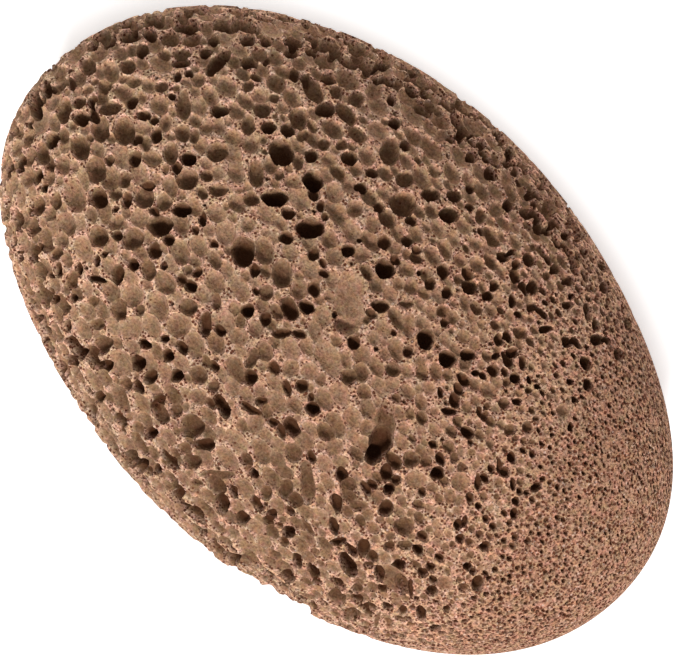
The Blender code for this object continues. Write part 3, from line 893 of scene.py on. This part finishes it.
def tinted_stone(n, place, moved, colour, lined, fine):
    """Paints light on the coarse tip and the +Y side and shade on the -Y side and its pores, then
    tints the colour along the slant, by its fine grain and in patches.
    """
    axes = n.add("ShaderNodeSeparateXYZ", {0: place})
    x, y = axes.outputs["X"], axes.outputs["Y"]
    # Painted light: the coarse tip and the +Y side are made paler.
    colour = n.tinted(n.step(x, *COARSE_TIP_PAINTED_LIGHT_X), colour, COARSE_TIP_PAINTED_LIGHT)
    colour = n.tinted(n.step(y, *PLUS_Y_PAINTED_LIGHT), colour, PLUS_Y_PAINTED_LIGHT_SIDE)
    # Painted shade: the -Y side is made darker, and its pores darker still.
    minus_y_painted_shade = n.step(y, *MINUS_Y_PAINTED_SHADE)
    colour = n.tinted(minus_y_painted_shade, colour, MINUS_Y_PAINTED_SHADE_SIDE)
    colour = n.tinted(n.math("MULTIPLY", minus_y_painted_shade, lined), colour, MINUS_Y_PAINTED_SHADE_PORES)
    slant = n.math("MULTIPLY_ADD", y, SLOPE, x)
    colour = n.tinted(n.step(slant, *SLANT), colour, FINE_SIDE)
    colour = n.tinted(fine, colour, FINE_GRAIN)
    colour = n.either(n.patches(place, *ROSY_PATCHES), colour, GREENISH, ROSY)
    return n.either(n.patches(moved, *SANDY_PATCHES), colour, BLUISH, SANDY)


def grained(n, colour, grain, inside):
    """Makes a colour lighter and darker by the grain, less so inside the pores."""
    tone = n.math("MULTIPLY_ADD", n.step(grain, *GRAIN_STEP), PALEST - DARKEST, DARKEST)
    weight = n.math("MULTIPLY_ADD", inside, -CALMER_INSIDE, 1.0)
    tone = n.math("MULTIPLY_ADD", n.math("SUBTRACT", tone, 1.0), weight, 1.0)
    grey = n.add("ShaderNodeCombineColor", {0: tone, 1: tone, 2: tone}).outputs[0]
    return n.mix(1.0, colour, grey, "MULTIPLY")


def pinholed(n, settings, place, moved, colour, inside, fine):
    """Adds pinholes, with painted shade inside them, and pale grains to a colour. The second
    result is the walls' pinholes.
    """
    pinhole_shade, fleck = rgba(settings.pinhole_shade_colour), rgba(settings.fleck_and_rim_highlight_colour)
    wall = n.math("MULTIPLY_ADD", inside, -FAINTER_INSIDE, 1.0)
    small = n.math("MULTIPLY", dots(n, place, *SMALL_PINHOLES), wall)
    colour = n.mix(n.math("MULTIPLY", small, SMALL), colour, pinhole_shade)
    lone = n.math("MULTIPLY", dots(n, moved, *LONE_PINHOLES), inside)
    colour = n.mix(n.math("MULTIPLY", lone, LONE), colour, pinhole_shade)
    crowded = n.math("MAXIMUM", fine, n.math("MULTIPLY", wall, WIDE_IN_COARSE))
    wide = n.math("MULTIPLY", dots(n, place, *WIDE_PINHOLES), crowded)
    colour = n.mix(n.math("MULTIPLY", wide, WIDE), colour, pinhole_shade)
    pale = n.math("MULTIPLY", dots(n, place, *PALE_GRAINS), wall)
    colour = n.mix(n.math("MULTIPLY", pale, PALE), colour, fleck)
    return colour, n.math("MAXIMUM", small, wide)


def porous_material(settings):
    """Matt lava: pink and beige walls full of pinholes, smooth olive-brown pores, and painted
    shade that darkens their depths.
    """
    material = bpy.data.materials.new("porous_lava")
    material.use_nodes = True
    tree = material.node_tree
    shader = tree.nodes["Principled BSDF"]
    n = Nodes(tree)
    metres = n.add("ShaderNodeTexCoord").outputs["Object"]
    place = n.add("ShaderNodeVectorMath", {0: metres, 3: 1.0 / MM}, operation="SCALE").outputs[0]
    moved = n.add("ShaderNodeVectorMath", {0: place, 1: ELSEWHERE}, operation="ADD").outputs[0]
    rim, hollow, fine = (n.attribute(name) for name in ("ridge", "hollow", "fine"))
    grain = n.noise(place, *GRAIN)
    colour, inside, lined = wall_and_lining(n, settings, place, rim, hollow, grain)
    colour = tinted_stone(n, place, moved, colour, lined, fine)
    colour = grained(n, colour, grain, inside)
    colour, pinholes = pinholed(n, settings, place, moved, colour, inside, fine)
    # Painted shade: the pores go dark towards their depths.
    dark = n.math("MULTIPLY", n.step(hollow, *PAINTED_SHADE_DEPTHS), PAINTED_SHADE_DARKNESS)
    colour = n.mix(dark, colour, rgba(settings.painted_deep_shade_colour))
    tree.links.new(colour, shader.inputs["Base Color"])
    height = n.math("MULTIPLY_ADD", pinholes, -1.0, n.math("MULTIPLY", grain, GRAIN_HEIGHT))
    bump = n.add("ShaderNodeBump", {"Strength": 0.8, "Distance": BUMP, "Height": height})
    tree.links.new(bump.outputs[0], shader.inputs["Normal"])
    shader.inputs["Roughness"].default_value = 0.95
    shader.inputs["Specular IOR Level"].default_value = 0.1
    return material


class PUMICE_OT_build_stone(bpy.types.Operator):
    """Build the stone: a worn oval skin with every open pore cut into it"""

    bl_idname = "pumice.build_stone"
    bl_label = "Build Stone"

    def execute(self, context):
        settings = context.scene.pumice
        spacing = settings.spacing / MM * 1.0
        skin = PoredSkin(spacing, settings.seed)
        for share, pores in HAND_PLACED:
            for pore in pores:
                skin.place(share, *pore)
        skin.scatter()
        points = skin.points - skin.normals * skin.depth[..., None]
        points[..., 2] = np.maximum(points[..., 2], skin.points[..., 2].min())
        fine = smooth_step(*FINE_EDGE, fineness(points))
        ridge = np.minimum(skin.rim, SHARED_WALL * (skin.rim - skin.second))
        fields = {"ridge": ridge, "hollow": skin.hollow, "fine": fine}
        mesh = closed_mesh("pumice_skin", points, fields)
        low, high = (np.array(corner) / MM for corner in CAD_BOX)
        mesh = thinned(mesh, settings.triangles, 0.5 * (low + high))
        two_disc_map(mesh, low, high)
        mesh.transform(((MM, 0, 0, 0), (0, MM, 0, 0), (0, 0, MM, 0), (0, 0, 0, 1)))
        mesh.shade_smooth()
        mesh.set_sharp_from_angle(angle=math.radians(SHARP))
        mesh.materials.append(porous_material(settings))
        piece = bpy.data.objects.new("pumice_skin", mesh)
        context.scene.collection.objects.link(piece)
        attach(piece, "root")
        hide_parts(NODE)
        return {"FINISHED"}


# The sun: its width, and its place round from +X and up from the floor, in degrees.
SUN_WIDTH, SUN_AZIMUTH, SUN_ELEVATION = 12.0, -61.0, 42.0
# Half width of the floor in metres.
FLOOR_REACH = 6.0
# Painted shadow on the floor: share of the floor's glow left under the stone, and where it rises,
# in half widths of the stone.
PAINTED_SHADOW_UNDER_STONE, PAINTED_SHADOW_EDGE = 0.42, (0.97, 1.13)

# The camera hangs over the stone, turned about the upright axis by these degrees, and sees this
# field at the stone's middle height. Its sensor's width is in mm.
CAMERA_TURN = 43.29
CAMERA_DISTANCE = 1000.0 * MM
CAMERA_PLACE = (0.095 * MM, 0.078 * MM)
FIELD_WIDTH = 83.92 * MM
SENSOR_WIDTH = 36.0


class PUMICE_OT_build_stage(bpy.types.Operator):
    """Build the pale floor, the soft light and the camera"""

    bl_idname = "pumice.build_stage"
    bl_label = "Build Stage"

    def execute(self, context):
        settings = context.scene.pumice
        low, high = CAD_BOX
        middle = 0.5 * (low.z + high.z)
        self.build_floor(context, settings, low.z, (high.x - low.x, high.y - low.y))
        self.build_light(context, settings)
        camera = bpy.data.cameras.new("camera")
        camera.sensor_width = SENSOR_WIDTH
        camera.lens = SENSOR_WIDTH * CAMERA_DISTANCE / FIELD_WIDTH
        camera.clip_start = 0.05
        camera.clip_end = 20.0
        holder = bpy.data.objects.new("camera", camera)
        holder.location = (*CAMERA_PLACE, middle + CAMERA_DISTANCE)
        holder.rotation_euler = (0.0, 0.0, math.radians(CAMERA_TURN))
        context.scene.collection.objects.link(holder)
        context.scene.camera = holder
        context.scene.view_settings.view_transform = "Standard"
        return {"FINISHED"}

    @staticmethod
    def build_floor(context, settings, height, footprint):
        """A wide level square just under the stone, with less glow close round the stone: a
        painted shadow.
        """
        mesh = bpy.data.meshes.new("floor")
        signs = ((-1, -1), (1, -1), (1, 1), (-1, 1))
        corners = [(a * FLOOR_REACH, b * FLOOR_REACH, height) for a, b in signs]
        mesh.from_pydata(corners, [], [(0, 1, 2, 3)])
        material = bpy.data.materials.new("floor_paper")
        material.use_nodes = True
        shader = material.node_tree.nodes["Principled BSDF"]
        shader.inputs["Base Color"].default_value = rgba(settings.floor_colour)
        shader.inputs["Roughness"].default_value = 1.0
        shader.inputs["Specular IOR Level"].default_value = 0.0
        n = Nodes(material.node_tree)
        place = n.add("ShaderNodeTexCoord").outputs["Object"]
        spread = [1.0 / (0.5 * size) for size in footprint] + [0.0]
        place = n.add("ShaderNodeVectorMath", {0: place, 1: spread}, operation="MULTIPLY")
        away = n.add("ShaderNodeVectorMath", {0: place.outputs[0]}, operation="LENGTH")
        # Painted shadow: the glow drops close round the stone.
        full = [settings.floor_glow] * 3
        edge = n.step(away.outputs["Value"], *PAINTED_SHADOW_EDGE)
        glow = n.mix(edge, shade(full, PAINTED_SHADOW_UNDER_STONE), rgba(full))
        material.node_tree.links.new(glow, shader.inputs["Emission Color"])
        shader.inputs["Emission Strength"].default_value = 1.0
        mesh.materials.append(material)
        floor = bpy.data.objects.new("floor", mesh)
        context.scene.collection.objects.link(floor)

    @staticmethod
    def build_light(context, settings):
        """One soft sun from the stone's -Y side and an even sky."""
        sun = bpy.data.lights.new("key", "SUN")
        sun.energy = settings.key_strength
        sun.angle = math.radians(SUN_WIDTH)
        lamp = bpy.data.objects.new("key", sun)
        azimuth, elevation = math.radians(SUN_AZIMUTH), math.radians(SUN_ELEVATION)
        lamp.rotation_euler = (0.5 * math.pi - elevation, 0.0, azimuth + 0.5 * math.pi)
        context.scene.collection.objects.link(lamp)
        world = bpy.data.worlds.new("sky")
        world.use_nodes = True
        sky = world.node_tree.nodes["Background"]
        sky.inputs["Color"].default_value = (1.0, 1.0, 1.0, 1.0)
        sky.inputs["Strength"].default_value = settings.fill_strength
        context.scene.world = world


class PUMICE_PT_panel(bpy.types.Panel):
    """Sidebar panel with the stone's settings and its build steps"""

    bl_idname = "PUMICE_PT_panel"
    bl_label = "Pumice Stone"
    bl_space_type = "VIEW_3D"
    bl_region_type = "UI"
    bl_category = "Pumice"

    def draw(self, context):
        settings = context.scene.pumice
        column = self.layout.column()
        for name in PumiceSettings.__annotations__:
            column.prop(settings, name)
        column.operator(PUMICE_OT_build_stone.bl_idname)
        column.operator(PUMICE_OT_build_stage.bl_idname)


CLASSES = (PumiceSettings, PUMICE_OT_build_stone, PUMICE_OT_build_stage, PUMICE_PT_panel)


def register():
    for entry in CLASSES:
        bpy.utils.register_class(entry)
    bpy.types.Scene.pumice = PointerProperty(type=PumiceSettings)


def unregister():
    del bpy.types.Scene.pumice
    for entry in reversed(CLASSES):
        bpy.utils.unregister_class(entry)


def main():
    register()
    bpy.ops.pumice.build_stone()
    bpy.ops.pumice.build_stage()


if __name__ == "__main__":
    main()
